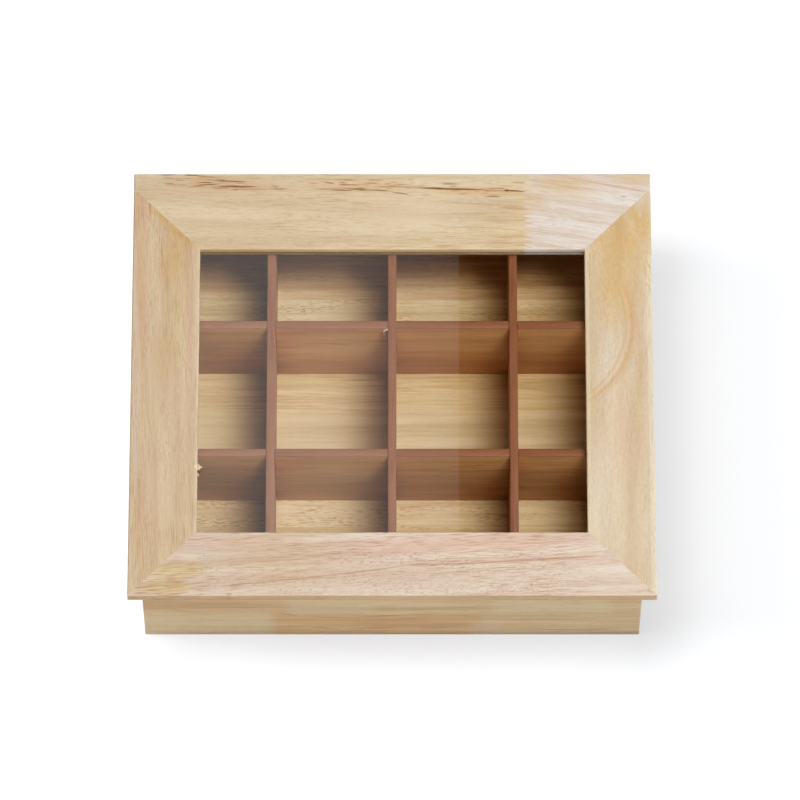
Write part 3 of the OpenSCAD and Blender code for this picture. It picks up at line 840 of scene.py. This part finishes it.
def easedCopy(node, body, look):  # a CAD node again, with its sharp corners taken off
    shape = bmesh.new()
    shape.from_mesh(nodes[node].data)
    bmesh.ops.remove_doubles(shape, verts=shape.verts, dist=look["mergeDistance"] * mm)
    flat = math.radians(look["flatAngle"])
    bmesh.ops.dissolve_limit(shape, angle_limit=flat, verts=shape.verts, edges=shape.edges)
    sharp = math.radians(look["sharpAngle"])
    corners = [edge for edge in shape.edges if edge.is_convex and edge.calc_face_angle(0) > sharp]
    bmesh.ops.bevel(shape, geom=corners, offset=look["width"] * mm, affect="EDGES",
                    segments=look["steps"], profile=0.5, material=-1, clamp_overlap=True)
    bmesh.ops.recalc_face_normals(shape, faces=shape.faces)
    piece = newObject(node + "_eased", shape)
    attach(piece, body)
    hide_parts(node)
    return piece


for part, seed in {"left": 0.7, "middle": 2.6, "right": 4.5}.items():
    look = {**divider, **longSides, "grain": "y", "face": "x", "seed": seed, "edge": longDivider}
    piece = easedCopy("long_divider_" + part, "base", eased)
    piece.data.materials.append(makeWood("longDividerWood" + part.title(), look))
for part, seed, edge in (("front", 6.1, dividerTop), ("back", 7.4, stripedDivider)):
    look = {**divider, "face": "y", "seed": seed, "edge": edge, "marks": [paintedLightColumn]}
    piece = easedCopy("cross_divider_" + part, "base", eased)
    piece.data.materials.append(makeWood("crossDividerWood" + part.title(), look))
print("box dressed")


splinter = {  # every fibre is a chain of points, each with its own radius, in millimetres
    "railFibres": [  # out from the window's edge, along the rail, height, radius
        [(-0.6, -58.2, 91.2, 0.5), (0.6, -58.6, 91.1, 0.7), (1.8, -59.4, 90.9, 0.3)],
        [(-0.6, -60.4, 91.1, 0.6), (1.0, -60.2, 91.0, 0.9), (3.4, -60.1, 90.8, 0.25)],
        [(-0.6, -62.0, 91.2, 0.4), (0.2, -61.6, 91.1, 0.7), (1.6, -61.2, 90.8, 0.3)],
        [(0.1, -58.0, 91.1, 0.6), (0.8, -61.8, 91.0, 0.7)],
        [(0.2, -60.0, 91.0, 0.6), (1.6, -61.5, 88.6, 0.2)],
        [(-0.6, -64.6, 91.3, 0.3), (0.6, -65.2, 91.2, 0.5), (1.0, -66.3, 91.0, 0.25)],
    ],
    "dividerFibres": [  # x, out from the back cross divider's face, height, radius
        [(-2.9, 0.4, 80.9, 0.5), (-4.4, 0.9, 80.7, 0.8), (-5.3, 1.2, 79.6, 0.8), (-5.6, 1.2, 76.0, 0.6),
         (-5.5, 0.9, 72.0, 0.2)],
    ],
    "sides": 8,
    "pale": (244, 226, 206),
    "dark": (224, 196, 166),
    "lineSize": (4, 0.4),
}


def addFibre(shape, points, radii):  # short tapered rods, end to end
    for start, end, first, last in zip(points, points[1:], radii, radii[1:]):
        along = end - start
        turn = along.to_track_quat("Z", "Y").to_matrix().to_4x4()
        place = Matrix.Translation((start + end) / 2) @ turn
        bmesh.ops.create_cone(shape, cap_ends=True, segments=splinter["sides"], radius1=first,
                              radius2=last, depth=along.length, matrix=place)


def buildSplinter(name, chains, origin, direction, material, body):
    shape = bmesh.new()
    for chain in chains:
        points = [Vector(origin) + Vector(direction(*point[:3])) * mm for point in chain]
        addFibre(shape, points, [point[3] * mm for point in chain])
    piece = newObject(name, shape)
    piece.data.materials.append(material)
    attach(piece, body)


tornLook = {"pale": splinter["pale"], "deep": splinter["dark"], "lineSize": splinter["lineSize"]}
torn = makeWood("tornFibre", tornLook)
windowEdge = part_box("lid_left_rail")[1].x
buildSplinter("rail_splinter", splinter["railFibres"], (windowEdge, 0, 0),
              lambda out, y, z: (out, y, z), torn, "lid")
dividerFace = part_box("cross_divider_back")[0].y
buildSplinter("divider_splinter", splinter["dividerFibres"], (0, dividerFace, 0),
              lambda x, out, z: (x, -out, z), torn, "base")
print("splinters added")


pane = {"colour": (0.985, 0.99, 0.985, 1), "index": 1.49, "faces": 2}  # the near face mirrors for both


def makePane(look):
    material, shade = newMaterial("clearAcrylic")
    back = shade.node("ShaderNodeNewGeometry", output="Backfacing")
    mirror = shade.node("ShaderNodeFresnel", values={"IOR": look["index"]})
    clear = shade.node("ShaderNodeBsdfTransparent", values={"Color": look["colour"]})
    gloss = shade.node("ShaderNodeBsdfAnisotropic", values={"Roughness": 0.0})
    factor = (mirror * look["faces"] * (1 - back)).clamp()
    shade.surface(shade.node("ShaderNodeMixShader", values={0: factor, 1: clear, 2: gloss}))
    return material


metal = {  # what brass and steel share
    "stainSize": 6, "stainGate": 0.35, "stainFirm": 1.6, "stainSpread": 0.15,
    "brushSpread": 0.25, "relief": 0.08, "reliefDepth": 0.2,
}


def makeMetal(name, look):
    material, shade = newMaterial(name)
    point, parts = shade.place()
    brushed = shade.noise(point, [size * mm for size in look["brush"]], 2.0)
    stains = shade.noise(point, [metal["stainSize"] * mm] * 3, 2.0)
    dulled = (stains - metal["stainGate"]) * metal["stainFirm"]
    colour = shade.mix(dulled, linear(look["bright"]), linear(look["dull"]))
    roughness = look["roughness"] + (brushed - 0.5) * metal["brushSpread"]
    roughness = roughness + (stains - 0.5) * metal["stainSpread"]
    values = {"Strength": metal["relief"], "Distance": metal["reliefDepth"] * mm, "Height": brushed}
    bump = shade.node("ShaderNodeBump", values=values)
    values = {"Base Color": colour, "Roughness": roughness, "Metallic": 1.0, "Normal": bump}
    shade.surface(shade.node("ShaderNodeBsdfPrincipled", values=values))
    return material


brass = {"bright": (226, 190, 116), "dull": (176, 136, 70), "brush": (20, 0.3, 0.3), "roughness": 0.34}
steel = {"bright": (214, 212, 206), "dull": (150, 146, 138), "brush": (0.4, 0.4, 4), "roughness": 0.36}

dress("window_pane", makePane(pane))
brassMaterial = makeMetal("hingeBrass", brass)
steelMaterial = makeMetal("screwSteel", steel)
for name in nodes:
    if "hinge" in name:
        dress(name, brassMaterial)
    if "screws" in name:
        dress(name, steelMaterial)
print("pane and metal made")
